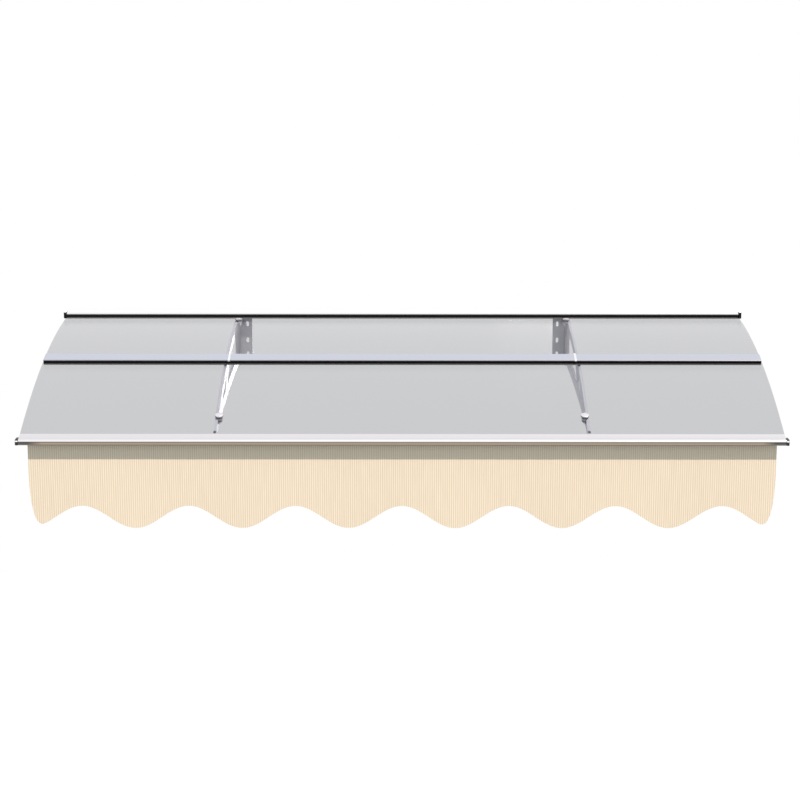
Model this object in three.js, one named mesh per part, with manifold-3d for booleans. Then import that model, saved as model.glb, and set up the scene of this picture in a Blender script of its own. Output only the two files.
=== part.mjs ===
// A door awning: two curved polycarbonate panels on two cast wall brackets, framed by three aluminium
// bars, with a scalloped cloth valance hanging from the front bar.
// Millimetres. The wall is the plane Y = 0, the awning reaches out along -Y, X runs along its width and
// +Z is up. The origin lies on the wall, midway between the brackets, level with their middle slots.
import * as THREE from "three";
import { mergeVertices } from "three/addons/utils/BufferGeometryUtils.js";
import Module from "manifold-3d";

const wasm = await Module();
wasm.setup();

// Panels. "Forward" is a distance from the wall, measured level.
const SHEET_WIDTH = 2000;
const SHEET_THICKNESS = 4;
const SHEET_RADIUS = 2202;
const SHEET_HEIGHT = 68.5; // top face, where it comes out of the rear bar
const SHEET_SLOPE_DEG = 3.07; // fall of the sheet there
const SHEET_REAR = 4.5;
const SHEET_FRONT = 805;
const PANEL_GAP = 1.5; // room to expand beside the joint
const SEAT_GAP = 0.3; // between faces that bear on each other

// Rear bar, a hood against the wall with a rib that backs its seal
const REAR_BAR_INSET = 4; // of its ends from the sheet's
const REAR_BAR_DEPTH = 30;
const REAR_BAR_FACE = 14.5; // from the sheet to the top, at the front
const REAR_BAR_RISE = 11; // of the top, from the front to the wall
const REAR_BAR_WALL = 2.2;
const REAR_BAR_RIB = 17; // forward place of the rib
const REAR_SEAL_INSET = 0.6;
const REAR_CAP_THICKNESS = 8;
const REAR_CAP_HEIGHT = 20;
const REAR_CAP_LIP = 2; // how far a cap stands out ahead of the bar
const CAP_PLUG_LENGTH = 14;

// Middle bar, a hollow cover with a stem between the panels and a narrow flange under them
const MID_BAR_INSET = 5;
const MID_BAR_FORWARD = 415.6;
const MID_BAR_DEPTH = 45;
const MID_BAR_HEIGHT = 14.5;
const MID_BAR_WALL = 2.2;
const MID_BAR_CORE = 22;
const MID_BAR_STEM = 4;
const MID_BAR_FLANGE = 14;
const MID_BAR_FLANGE_THICKNESS = 2.5;
const MID_BAR_ROUND = 1.4;
const MID_SEAL_INSET = 0.5;
const MID_PLUG_LENGTH = 16;
const CLIP_X = 480.6;
const CLIP_WIDTH = 6;
const CLIP_THICKNESS = 1.2;
const CLIP_HOOK = 3.4;

// Front bar, with a flange under the sheet, a lip over it, a nose and a groove for the valance
const FRONT_FLANGE_DEPTH = 28;
const FRONT_FLANGE_THICKNESS = 2.5;
const FRONT_LIP_DEPTH = 20.3; // over the sheet
const FRONT_LIP_THICKNESS = 1.5;
const FRONT_NOSE_REACH = 10; // of the upright face, ahead of the sheet's edge
const FRONT_NOSE_DROP = 5.4; // from the sheet's edge to the top of that face
const FRONT_FACE_HEIGHT = 9;
const FRONT_FACE_BULGE = 1;
const FRONT_GROOVE_SETBACK = 18; // from the face to the middle of the groove
const FRONT_GROOVE_WALL = 1.4;
const FRONT_GROOVE_CLEARANCE = 0.3;
const FRONT_GROOVE_BLOCK = 5.6; // from the middle of the groove to the back of the block
const FRONT_CAP_THICKNESS = 8;
const FRONT_CAP_LIP = 0.4;

// Valance, a hemmed cloth on a rod
const VALANCE_INSET = 21.2; // of its sides from the front bar's ends
const VALANCE_THICKNESS = 1.2;
const VALANCE_DROP = 197.5; // from the bar to the middle of the waves
const WAVE_LENGTH = 280.4;
const WAVE_SWING = 30; // each way from the middle of the wave
const VALANCE_CORNER_WIDTH = 52;
const VALANCE_SIDE = 80; // straight part of the sides, under the bar
const VALANCE_CORNER_POWER = 3.6; // 2 gives an ellipse, more a fuller corner
const HEM_OUTER = 6.6;
const HEM_WALL = 0.7;
const KEDER_CLEARANCE = 0.3;
const GROOVE_MOUTH = 2.6;

// Brackets, given for the side at +X
const ARM_OUTER_X = 494.8;
const ARM_THICKNESS = 7.6;
const ARM_CHORD = 22; // depth of the upper member
const ARM_STRUT = 29; // depth of the lower member
const ARM_BOTTOM = 137; // below the sheet's top, at the wall
const ARM_TIP_DEPTH = 6; // under the sheet, at the front
const ARM_BOTTOM_POWER = 2.3; // how late the lower edge falls to the tip
const ARM_BEVEL = 0.8;
const ARM_CORNER = 9;
const WEB_REAR_TOP = 356; // forward places of the slanting web's corners
const WEB_REAR_BOTTOM = 404;
const WEB_FRONT_TOP = 418;
const WEB_FRONT_BOTTOM = 474;
const WEB_END_HEIGHT = 10; // of the front opening, where the members join
const POST_DEPTH = 50;
const POST_THICKNESS = 13.4;
const FLANGE_WIDTH = 47;
const FLANGE_THICKNESS = 5;
const FLANGE_SLOT_X = 461.3;
const FLANGE_SLOT_WIDTH = 7.5;
const FLANGE_SLOT_LENGTH = 15.5;
const FLANGE_SLOT_PITCH = 49; // from the middle slot to the upper one
const FLANGE_SLOT_DROP = 42; // and to the lower one
const FOOT_WIDTH = 7.2; // a little inside the arm's faces
const FOOT_LENGTH = 60;
const FOOT_DEPTH = 10;
const FOOT_REACH = 12; // how far the foot runs on under the front flange
const ARM_PAD_LENGTH = 10;
const ARM_PAD_WIDTH = 6.2;
const ARM_PAD_DEPTH = 3.6;
const ARM_PAD_SETBACK = 4.5; // behind the front flange

// Clamps through the panels
const CLAMP_X = 484.5;
const CLAMP_REAR_SETBACK = 13; // ahead of the rear bar
const CLAMP_FRONT_SETBACK = 97; // behind the sheet's front edge
const CAP_RADIUS = 10.4;
const CAP_EDGE = 2.4;
const CAP_CROWN = 1.6;
const WASHER_RADIUS = 11;
const WASHER_THICKNESS = 1.4;
const PAD_RADIUS = 8.6;
const PAD_THICKNESS = 5.5;
const BOSS_RADIUS = 8;
const BOSS_HEIGHT = 5;
const BOLT_RADIUS = 3;
const BOLT_CLEARANCE = 0.4;
const PANEL_HOLE_RADIUS = 4.2;
const NUT_ACROSS_FLATS = 10;
const NUT_HEIGHT = 4.6;
const NUT_ROOM = 1.5; // round the nuts
const BOLT_TAIL = 2.6;

// Screws that hold the front flange to the feet
const TIP_SCREW_RADIUS = 1.8;
const TIP_SCREW_HEAD_RADIUS = 3.4;
const TIP_SCREW_HEAD_HEIGHT = 2.4;
const TIP_SCREW_FROM_FLANGE = 6; // ahead of the flange's rear edge

const ROUND_STEPS = 12;
const ARC_STEPS = 14;
const CORNER_STEPS = 4;
const SMOOTH_ANGLE = THREE.MathUtils.degToRad(165); // flatter bends than this are no corners
const PAST = 10; // how far a cutter runs beyond what it cuts
const SIDES = [
  ["left", -1],
  ["right", 1],
];

// The sheet's arc. Places are pairs of forward and height.
const slope0 = THREE.MathUtils.degToRad(SHEET_SLOPE_DEG);
const arcForward = REAR_BAR_DEPTH - SHEET_RADIUS * Math.sin(slope0);
const arcHeight = SHEET_HEIGHT - SHEET_RADIUS * Math.cos(slope0);

function slopeAt(forward) {
  return Math.asin((forward - arcForward) / SHEET_RADIUS);
}

// The place at a slope, a distance below the sheet's top face
function atSlope(slope, drop) {
  const radius = SHEET_RADIUS - drop;
  return [arcForward + radius * Math.sin(slope), arcHeight + radius * Math.cos(slope)];
}

// The height, at a forward distance, of the arc that lies a drop below the sheet's top face
function heightUnder(forward, drop) {
  const radius = SHEET_RADIUS - drop;
  return arcHeight + Math.sqrt(radius ** 2 - (forward - arcForward) ** 2);
}

const underside = SHEET_THICKNESS + SEAT_GAP;
const midSlope = slopeAt(MID_BAR_FORWARD);
const frontSlope = slopeAt(SHEET_FRONT);
const halfJoint = (MID_BAR_STEM / 2 + PANEL_GAP) / SHEET_RADIUS;
const rearBarLength = SHEET_WIDTH - 2 * REAR_BAR_INSET;
const midBarLength = SHEET_WIDTH - 2 * MID_BAR_INSET;
const valanceWidth = SHEET_WIDTH - 2 * VALANCE_INSET;

// Shapes and solids

function shapeOf(points) {
  return new THREE.Shape(points.map(([a, b]) => new THREE.Vector2(a, b)));
}

function rectangle(low, high) {
  return shapeOf([low, [high[0], low[1]], high, [low[0], high[1]]]);
}

// A closed outline through the points, with its real corners rounded
function roundedShape(points, radius) {
  const at = (i) => new THREE.Vector2(...points[(i + points.length) % points.length]);
  const outline = points.flatMap((point, i) => {
    const corner = at(i);
    const before = at(i - 1).sub(corner);
    const after = at(i + 1).sub(corner);
    if (before.angleTo(after) > SMOOTH_ANGLE) return [corner];
    const reach = Math.min(radius, 0.45 * before.length(), 0.45 * after.length());
    const start = corner.clone().add(before.setLength(reach));
    const end = corner.clone().add(after.setLength(reach));
    return new THREE.QuadraticBezierCurve(start, corner, end).getPoints(CORNER_STEPS);
  });
  return new THREE.Shape(outline);
}

// A stretch of the sheet's arc as a closed section
function arcSection(slopeRear, slopeFront, dropTop, dropBottom) {
  const shape = new THREE.Shape();
  const rear = Math.PI / 2 - slopeRear;
  const front = Math.PI / 2 - slopeFront;
  shape.absarc(arcForward, arcHeight, SHEET_RADIUS - dropTop, rear, front, true);
  shape.absarc(arcForward, arcHeight, SHEET_RADIUS - dropBottom, front, rear, false);
  return shape;
}

// A section of forward and height, run along X about the middle of the awning
const ALONG_X = new THREE.Matrix4().makeBasis(
  new THREE.Vector3(0, -1, 0),
  new THREE.Vector3(0, 0, 1),
  new THREE.Vector3(-1, 0, 0),
);

function runAlongX(section, length, options = {}) {
  const bevel = options.bevel ?? 0;
  const geometry = new THREE.ExtrudeGeometry(section, {
    depth: length - 2 * bevel,
    curveSegments: options.steps ?? ROUND_STEPS,
    bevelEnabled: bevel > 0,
    bevelSize: bevel,
    bevelThickness: bevel,
    bevelOffset: -bevel,
    bevelSegments: 1,
  });
  return geometry.translate(0, 0, bevel - length / 2).applyMatrix4(ALONG_X);
}

// A bar of round section that stands on its base, along +Z
function post(radius, height, base) {
  const steps = 2 * ROUND_STEPS;
  const geometry = new THREE.CylinderGeometry(radius, radius, height, steps);
  return geometry.rotateX(Math.PI / 2).translate(0, 0, base + height / 2);
}

function box(low, high) {
  const size = high.map((value, i) => value - low[i]);
  return new THREE.BoxGeometry(...size).translate(...low.map((value, i) => value + size[i] / 2));
}

// The frame of a seat on the sheet: +Z out of its top face, -Y along it towards the front
function seatMatrix(x, slope) {
  const [forward, height] = atSlope(slope, 0);
  const turn = new THREE.Matrix4().makeRotationX(slope);
  return new THREE.Matrix4().makeTranslation(x, -forward, height).multiply(turn);
}

function solid(geometry) {
  const bare = new THREE.BufferGeometry();
  const plain = geometry.index ? geometry.toNonIndexed() : geometry;
  bare.setAttribute("position", plain.getAttribute("position"));
  const merged = mergeVertices(bare, 1e-4);
  const mesh = new wasm.Mesh({
    numProp: 3,
    vertProperties: merged.attributes.position.array,
    triVerts: new Uint32Array(merged.index.array),
  });
  return new wasm.Manifold(mesh);
}

function geometryOf(made) {
  const mesh = made.getMesh();
  const geometry = new THREE.BufferGeometry();
  geometry.setAttribute("position", new THREE.BufferAttribute(mesh.vertProperties, 3));
  geometry.setIndex(new THREE.BufferAttribute(mesh.triVerts, 1));
  geometry.computeVertexNormals();
  return geometry;
}

function cut(geometry, ...cutters) {
  return geometryOf(cutters.reduce((made, cutter) => made.subtract(solid(cutter)), solid(geometry)));
}

function join(geometry, ...others) {
  return geometryOf(others.reduce((made, other) => made.add(solid(other)), solid(geometry)));
}

// Finishes

const FINISHES = {
  aluminium: { color: 0xcfd1db, roughness: 0.35, metalness: 0.9 },
  castAluminium: { color: 0xd9dade, roughness: 0.55, metalness: 0.6 },
  rubber: { color: 0x121212, roughness: 0.7, metalness: 0 },
  capPlastic: { color: 0x18181a, roughness: 0.45, metalness: 0 },
  steel: { color: 0xe4e4e6, roughness: 0.25, metalness: 1 },
  polycarbonate: { color: 0xcbccce, roughness: 0.08, metalness: 0, opacity: 0.4, transparent: true },
  cloth: { color: 0xf0dfc4, roughness: 0.95, metalness: 0 },
};

function piece(group, name, geometry, finish) {
  const mesh = new THREE.Mesh(geometry, new THREE.MeshStandardMaterial(FINISHES[finish]));
  mesh.name = name;
  group.add(mesh);
  return mesh;
}

// Clamps: their places and their stack along the sheet's normal

const clampPlaces = [
  ["rear", slopeAt(REAR_BAR_DEPTH + CLAMP_REAR_SETBACK)],
  ["front", slopeAt(SHEET_FRONT - CLAMP_FRONT_SETBACK)],
];
const padTop = -underside;
const bossTop = padTop - PAD_THICKNESS - SEAT_GAP;
const nutTop = bossTop - BOSS_HEIGHT - SEAT_GAP;
const boltEnd = nutTop - NUT_HEIGHT - BOLT_TAIL;
const washerTop = SEAT_GAP + WASHER_THICKNESS;
const capBase = washerTop + SEAT_GAP;

function ringOf(outer, inner, base, height) {
  const half = height / 2;
  const profile = [
    [inner, -half],
    [outer, -half],
    [outer, half],
    [inner, half],
    [inner, -half],
  ];
  const points = profile.map(([radius, z]) => new THREE.Vector2(radius, z));
  const geometry = new THREE.LatheGeometry(points, 2 * ROUND_STEPS);
  return geometry.rotateX(Math.PI / 2).translate(0, 0, base + half);
}

function clampBolt() {
  const capTop = capBase + CAP_EDGE;
  const profile = new THREE.Path();
  profile.moveTo(0, boltEnd);
  profile.lineTo(BOLT_RADIUS, boltEnd);
  profile.lineTo(BOLT_RADIUS, capBase);
  profile.lineTo(CAP_RADIUS, capBase);
  profile.lineTo(CAP_RADIUS, capTop);
  profile.quadraticCurveTo(CAP_RADIUS * 0.7, capTop + CAP_CROWN, 0, capTop + CAP_CROWN);
  const geometry = new THREE.LatheGeometry(profile.getPoints(5), 2 * ROUND_STEPS);
  return geometry.rotateX(Math.PI / 2);
}

function clampNut() {
  const hexagon = new THREE.CylinderGeometry(
    NUT_ACROSS_FLATS / Math.sqrt(3),
    NUT_ACROSS_FLATS / Math.sqrt(3),
    NUT_HEIGHT,
    6,
  );
  hexagon.rotateX(Math.PI / 2).translate(0, 0, nutTop - NUT_HEIGHT / 2);
  const hole = post(BOLT_RADIUS + BOLT_CLEARANCE, NUT_HEIGHT + 2 * PAST, nutTop - NUT_HEIGHT - PAST);
  return cut(hexagon, hole);
}

function addClamps(awning) {
  const bore = BOLT_RADIUS + BOLT_CLEARANCE;
  for (const [side, sign] of SIDES) {
    for (const [end, slope] of clampPlaces) {
      const clamp = new THREE.Group();
      clamp.applyMatrix4(seatMatrix(sign * CLAMP_X, slope));
      const washer = ringOf(WASHER_RADIUS, bore, SEAT_GAP, WASHER_THICKNESS);
      const pad = ringOf(PAD_RADIUS, bore, padTop - PAD_THICKNESS, PAD_THICKNESS);
      piece(clamp, `clamp_bolt_${end}_${side}`, clampBolt(), "steel");
      piece(clamp, `clamp_washer_${end}_${side}`, washer, "rubber");
      piece(clamp, `clamp_pad_${end}_${side}`, pad, "rubber");
      piece(clamp, `clamp_nut_${end}_${side}`, clampNut(), "steel");
      awning.add(clamp);
    }
  }
}

// Panels

function panelHole(slope, sign) {
  const length = SHEET_THICKNESS + 2 * PAST;
  const hole = post(PANEL_HOLE_RADIUS, length, -SHEET_THICKNESS - PAST);
  return hole.applyMatrix4(seatMatrix(sign * CLAMP_X, slope));
}

function panel(slopeRear, slopeFront, boltSlope) {
  const section = arcSection(slopeRear, slopeFront, 0, SHEET_THICKNESS);
  const sheet = runAlongX(section, SHEET_WIDTH, { steps: ARC_STEPS });
  return cut(sheet, ...SIDES.map(([, sign]) => panelHole(boltSlope, sign)));
}

function addPanels(awning) {
  const [[, rearBolt], [, frontBolt]] = clampPlaces;
  const rear = panel(slopeAt(SHEET_REAR), midSlope - halfJoint, rearBolt);
  const front = panel(midSlope + halfJoint, frontSlope, frontBolt);
  piece(awning, "rear_panel", rear, "polycarbonate");
  piece(awning, "front_panel", front, "polycarbonate");
}

// Rear bar, its seal and its caps

const rearTopFront = SHEET_HEIGHT + REAR_BAR_FACE;
const rearTopWall = rearTopFront + REAR_BAR_RISE;
const rearBase = heightUnder(SHEET_REAR, SHEET_THICKNESS);

// The underside of the sloping top, at a forward distance
function rearSoffit(forward) {
  const share = 1 - forward / REAR_BAR_DEPTH;
  return rearTopFront + REAR_BAR_RISE * share - REAR_BAR_WALL;
}

function rearBar() {
  const ribFront = REAR_BAR_RIB + REAR_BAR_WALL;
  const ribBase = (forward) => heightUnder(forward, -2 * SEAT_GAP);
  const section = shapeOf([
    [0, rearBase],
    [0, rearTopWall],
    [REAR_BAR_DEPTH - MID_BAR_ROUND, rearTopFront + REAR_BAR_RISE * (MID_BAR_ROUND / REAR_BAR_DEPTH)],
    [REAR_BAR_DEPTH, rearTopFront - MID_BAR_ROUND / 2],
    [REAR_BAR_DEPTH, rearSoffit(REAR_BAR_DEPTH)],
    [ribFront, rearSoffit(ribFront)],
    [ribFront, ribBase(ribFront)],
    [REAR_BAR_RIB, ribBase(REAR_BAR_RIB)],
    [REAR_BAR_RIB, rearSoffit(REAR_BAR_RIB)],
    [REAR_BAR_WALL, rearSoffit(REAR_BAR_WALL)],
    [REAR_BAR_WALL, rearBase],
  ]);
  return runAlongX(section, rearBarLength);
}

function rearBarSeal() {
  const back = REAR_BAR_RIB + REAR_BAR_WALL + SEAT_GAP;
  const face = REAR_BAR_DEPTH - REAR_SEAL_INSET;
  const foot = (forward) => heightUnder(forward, -SEAT_GAP);
  const section = roundedShape(
    [
      [back, foot(back)],
      [face, foot(face)],
      [face, rearSoffit(face) - SEAT_GAP],
      [back, rearSoffit(back) - SEAT_GAP],
    ],
    REAR_SEAL_INSET,
  );
  return runAlongX(section, rearBarLength);
}

function rearCap() {
  const face = REAR_BAR_DEPTH + REAR_CAP_LIP;
  const top = SHEET_HEIGHT + REAR_CAP_HEIGHT;
  const outline = roundedShape(
    [
      [0, heightUnder(0, -2 * SEAT_GAP)],
      [0, top],
      [face, top],
      [face, heightUnder(face, -2 * SEAT_GAP)],
    ],
    2 * REAR_CAP_LIP,
  );
  const plate = runAlongX(outline, REAR_CAP_THICKNESS, { bevel: ARM_BEVEL });
  const rear = REAR_BAR_WALL + SEAT_GAP;
  const front = REAR_BAR_RIB - SEAT_GAP;
  const base = heightUnder(rear, -2 * SEAT_GAP);
  const section = shapeOf([
    [rear, base],
    [front, base],
    [front, rearSoffit(front) - SEAT_GAP],
    [rear, rearSoffit(rear) - SEAT_GAP],
  ]);
  const reach = CAP_PLUG_LENGTH + SEAT_GAP;
  const plug = runAlongX(section, reach + ARM_BEVEL);
  plug.translate((ARM_BEVEL - reach) / 2 - REAR_CAP_THICKNESS / 2, 0, 0);
  return join(plate, plug);
}

function addRearBar(awning) {
  piece(awning, "rear_bar", rearBar(), "aluminium");
  piece(awning, "rear_bar_seal", rearBarSeal(), "rubber");
  for (const [side, sign] of SIDES) {
    const holder = new THREE.Group();
    holder.scale.x = sign;
    const cap = piece(holder, `rear_bar_cap_${side}`, rearCap(), "capPlastic");
    cap.position.x = rearBarLength / 2 + SEAT_GAP + REAR_CAP_THICKNESS / 2;
    awning.add(holder);
  }
}

// Middle bar, in the frame of its seat on the sheet: pairs of forward along the sheet and height over it

function midBar() {
  const half = MID_BAR_DEPTH / 2;
  const core = MID_BAR_CORE / 2;
  const soffit = MID_BAR_HEIGHT - MID_BAR_WALL;
  const flangeTop = -underside;
  const flangeBase = flangeTop - MID_BAR_FLANGE_THICKNESS;
  const round = MID_BAR_ROUND;
  const halfSection = [
    [MID_BAR_FLANGE / 2, flangeBase],
    [MID_BAR_FLANGE / 2, flangeTop],
    [MID_BAR_STEM / 2, flangeTop],
    [MID_BAR_STEM / 2, SEAT_GAP],
    [core, SEAT_GAP],
    [core, soffit],
    [half, soffit],
    [half, MID_BAR_HEIGHT - round],
    [half - round, MID_BAR_HEIGHT],
  ];
  const mirrored = halfSection.map(([forward, height]) => [-forward, height]).reverse();
  const section = shapeOf([...halfSection, ...mirrored]);
  const inner = core - MID_BAR_WALL;
  const hollow = rectangle([-inner, SEAT_GAP + MID_BAR_WALL], [inner, soffit]);
  section.holes.push(hollow);
  return runAlongX(section, midBarLength);
}

function midSeal() {
  const back = MID_BAR_CORE / 2 + SEAT_GAP;
  const face = MID_BAR_DEPTH / 2 - MID_SEAL_INSET;
  const top = MID_BAR_HEIGHT - MID_BAR_WALL - SEAT_GAP;
  const section = roundedShape(
    [
      [back, SEAT_GAP],
      [face, SEAT_GAP],
      [face, top],
      [back, top],
    ],
    MID_SEAL_INSET,
  );
  return runAlongX(section, midBarLength);
}

function midPlug() {
  const inner = MID_BAR_CORE / 2 - MID_BAR_WALL - SEAT_GAP;
  const base = 2 * SEAT_GAP + MID_BAR_WALL;
  const top = MID_BAR_HEIGHT - MID_BAR_WALL - SEAT_GAP;
  return runAlongX(rectangle([-inner, base], [inner, top]), MID_PLUG_LENGTH);
}

// A strip over the bar, with its ends hooked over the edges
function midClip() {
  const half = MID_BAR_DEPTH / 2 + SEAT_GAP;
  const base = MID_BAR_HEIGHT + SEAT_GAP;
  const outer = half + CLIP_THICKNESS;
  const section = shapeOf([
    [-outer, base - CLIP_HOOK],
    [-half, base - CLIP_HOOK],
    [-half, base],
    [half, base],
    [half, base - CLIP_HOOK],
    [outer, base - CLIP_HOOK],
    [outer, base],
    [half, base + CLIP_THICKNESS],
    [-half, base + CLIP_THICKNESS],
    [-outer, base],
  ]);
  return runAlongX(section, CLIP_WIDTH);
}

function addMidBar(awning) {
  const seat = new THREE.Group();
  seat.applyMatrix4(seatMatrix(0, midSlope));
  piece(seat, "mid_bar", midBar(), "aluminium");
  piece(seat, "mid_bar_seal_front", midSeal(), "rubber");
  const rearSeal = piece(seat, "mid_bar_seal_rear", midSeal(), "rubber");
  rearSeal.rotation.z = Math.PI;
  for (const [side, sign] of SIDES) {
    const plug = piece(seat, `mid_bar_plug_${side}`, midPlug(), "capPlastic");
    plug.position.x = (sign * (midBarLength - MID_PLUG_LENGTH)) / 2;
    const clip = piece(seat, `mid_bar_clip_${side}`, midClip(), "steel");
    clip.position.x = sign * CLIP_X;
  }
  awning.add(seat);
}

// Front bar. Its flange and lip follow the sheet; its face is upright.

const grooveRadius = HEM_OUTER / 2 + FRONT_GROOVE_CLEARANCE;
const sheetFrontHeight = heightUnder(SHEET_FRONT, 0);
const faceForward = SHEET_FRONT + FRONT_NOSE_REACH;
const faceTop = sheetFrontHeight - FRONT_NOSE_DROP;
const faceBase = faceTop - FRONT_FACE_HEIGHT;
const grooveForward = faceForward - FRONT_GROOVE_SETBACK;
const grooveHeight = faceBase + FRONT_GROOVE_WALL + grooveRadius;
const blockRear = grooveForward - FRONT_GROOVE_BLOCK;
const frontFlangeBase = -underside - FRONT_FLANGE_THICKNESS;

// A place given along the sheet past its front edge, and over its top face
function pastEdge(along, over) {
  const cos = Math.cos(frontSlope);
  const sin = Math.sin(frontSlope);
  return [SHEET_FRONT + along * cos + over * sin, sheetFrontHeight - along * sin + over * cos];
}

// Where the flange's underside meets an upright line
function flangeBaseAt(forward) {
  const [startForward, startHeight] = pastEdge(0, frontFlangeBase);
  return startHeight - (forward - startForward) * Math.tan(frontSlope);
}

// The nose and face, which the caps follow with a lip
function noseStart(grow) {
  return pastEdge(FRONT_LIP_THICKNESS, SEAT_GAP + FRONT_LIP_THICKNESS + grow);
}

function noseOutline(section, grow) {
  const [lipForward, lipHeight] = noseStart(grow);
  const edge = FRONT_GROOVE_WALL / 2;
  section.lineTo(lipForward, lipHeight);
  section.quadraticCurveTo(faceForward + grow, lipHeight - grow, faceForward + grow, faceTop);
  section.quadraticCurveTo(
    faceForward + grow + 2 * FRONT_FACE_BULGE,
    (faceTop + faceBase) / 2,
    faceForward + grow,
    faceBase + edge - grow,
  );
  section.lineTo(faceForward + grow - edge, faceBase - grow);
}

function frontBar() {
  const section = new THREE.Shape();
  const mouth = Math.asin(GROOVE_MOUTH / 2 / grooveRadius);
  section.moveTo(...pastEdge(-FRONT_LIP_DEPTH, SEAT_GAP));
  section.lineTo(...pastEdge(-FRONT_LIP_DEPTH, SEAT_GAP + FRONT_LIP_THICKNESS));
  noseOutline(section, 0);
  section.lineTo(grooveForward + GROOVE_MOUTH / 2, faceBase);
  section.absarc(
    grooveForward,
    grooveHeight,
    grooveRadius,
    -Math.PI / 2 + mouth,
    -Math.PI / 2 - mouth,
    false,
  );
  section.lineTo(grooveForward - GROOVE_MOUTH / 2, faceBase);
  section.lineTo(blockRear, faceBase);
  section.lineTo(blockRear, flangeBaseAt(blockRear));
  section.lineTo(...pastEdge(-FRONT_FLANGE_DEPTH, frontFlangeBase));
  section.lineTo(...pastEdge(-FRONT_FLANGE_DEPTH, -underside));
  section.lineTo(...pastEdge(SEAT_GAP, -underside));
  section.lineTo(...pastEdge(SEAT_GAP, SEAT_GAP));
  const bar = runAlongX(section, SHEET_WIDTH);
  const holes = SIDES.map(([, sign]) => {
    const length = FRONT_FLANGE_THICKNESS + PAST;
    const hole = post(TIP_SCREW_RADIUS + SEAT_GAP, length, frontFlangeBase - PAST / 2);
    return hole.applyMatrix4(tipScrewMatrix(sign));
  });
  return cut(bar, ...holes);
}

function frontCap() {
  const grow = FRONT_CAP_LIP;
  const outline = new THREE.Shape();
  outline.moveTo(blockRear - grow, faceBase - grow);
  outline.lineTo(blockRear - grow, noseStart(grow)[1]);
  noseOutline(outline, grow);
  const plate = runAlongX(outline, FRONT_CAP_THICKNESS, { bevel: ARM_BEVEL, steps: 6 });
  const reach = CAP_PLUG_LENGTH + SEAT_GAP + ARM_BEVEL;
  const peg = post(HEM_OUTER / 2, reach, 0).rotateY(-Math.PI / 2);
  peg.translate(ARM_BEVEL - FRONT_CAP_THICKNESS / 2, -grooveForward, grooveHeight);
  return join(plate, peg);
}

function addFrontBar(awning) {
  piece(awning, "front_bar", frontBar(), "aluminium");
  for (const [side, sign] of SIDES) {
    const holder = new THREE.Group();
    holder.scale.x = sign;
    const cap = piece(holder, `front_bar_cap_${side}`, frontCap(), "capPlastic");
    cap.position.x = SHEET_WIDTH / 2 + SEAT_GAP + FRONT_CAP_THICKNESS / 2;
    awning.add(holder);
  }
}

// Valance: a hem round the rod, and a cloth whose lower edge is a wave with rounded ends

const hemInner = HEM_OUTER / 2 - HEM_WALL;

// How far below the bar the lower edge lies
function waveDrop(x) {
  const wave = VALANCE_DROP - WAVE_SWING * Math.cos((2 * Math.PI * x) / WAVE_LENGTH);
  const intoCorner = Math.abs(x) - (valanceWidth / 2 - VALANCE_CORNER_WIDTH);
  if (intoCorner <= 0) return wave;
  const share = Math.min(1, intoCorner / VALANCE_CORNER_WIDTH);
  return VALANCE_SIDE + (wave - VALANCE_SIDE) * Math.sqrt(1 - share ** VALANCE_CORNER_POWER);
}

function valance() {
  const half = valanceWidth / 2;
  const perWave = 16;
  const cornerSteps = 12;
  const top = grooveHeight - hemInner - HEM_WALL / 2;
  const inner = half - VALANCE_CORNER_WIDTH;
  const steps = Math.round((2 * inner * perWave) / WAVE_LENGTH);
  const right = [];
  for (let i = 0; i <= cornerSteps; i += 1) {
    right.push(inner + VALANCE_CORNER_WIDTH * Math.sin((i / cornerSteps) * (Math.PI / 2)));
  }
  const left = right.map((x) => -x).reverse();
  const middle = [];
  for (let i = 1; i < steps; i += 1) middle.push(-inner + (2 * inner * i) / steps);
  const edge = [...left, ...middle, ...right].map((x) => [x, faceBase - waveDrop(x)]);
  const outline = shapeOf([[half, top], [-half, top], ...edge]);
  const cloth = new THREE.ExtrudeGeometry(outline, { depth: VALANCE_THICKNESS, bevelEnabled: false });
  cloth.translate(0, 0, -VALANCE_THICKNESS / 2).rotateX(Math.PI / 2).translate(0, -grooveForward, 0);
  const hem = ringOf(HEM_OUTER / 2, hemInner, -half, valanceWidth);
  hem.rotateY(Math.PI / 2).translate(0, -grooveForward, grooveHeight);
  return join(cloth, hem);
}

function addValance(awning) {
  const keder = post(hemInner - KEDER_CLEARANCE, valanceWidth, -valanceWidth / 2);
  keder.rotateY(Math.PI / 2).translate(0, -grooveForward, grooveHeight);
  piece(awning, "valance", valance(), "cloth");
  piece(awning, "valance_keder", keder, "capPlastic");
}

// Brackets

const footRear = -FRONT_FLANGE_DEPTH - FOOT_LENGTH; // along the sheet, from its front edge
const footFront = -FRONT_FLANGE_DEPTH + FOOT_REACH;
const footMiddleX = ARM_OUTER_X - ARM_THICKNESS / 2;
const footBase = -underside - FOOT_DEPTH;
const footTopFront = frontFlangeBase - SEAT_GAP;
const armFront = pastEdge(footFront, 0)[0];
const armWallBottom = SHEET_HEIGHT - ARM_BOTTOM;
const armTipBottom = heightUnder(armFront, underside) - ARM_TIP_DEPTH;

function tipScrewMatrix(sign) {
  const along = new THREE.Matrix4().makeTranslation(0, FRONT_FLANGE_DEPTH - TIP_SCREW_FROM_FLANGE, 0);
  return seatMatrix(sign * footMiddleX, frontSlope).multiply(along);
}

// The lower edge of the arm
function armBottom(forward) {
  const share = forward / armFront;
  return armWallBottom - (armWallBottom - armTipBottom) * share ** ARM_BOTTOM_POWER;
}

function chordBase(forward) {
  return [forward, heightUnder(forward, underside + ARM_CHORD)];
}

function strutTop(forward) {
  return [forward, armBottom(forward) + ARM_STRUT];
}

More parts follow.
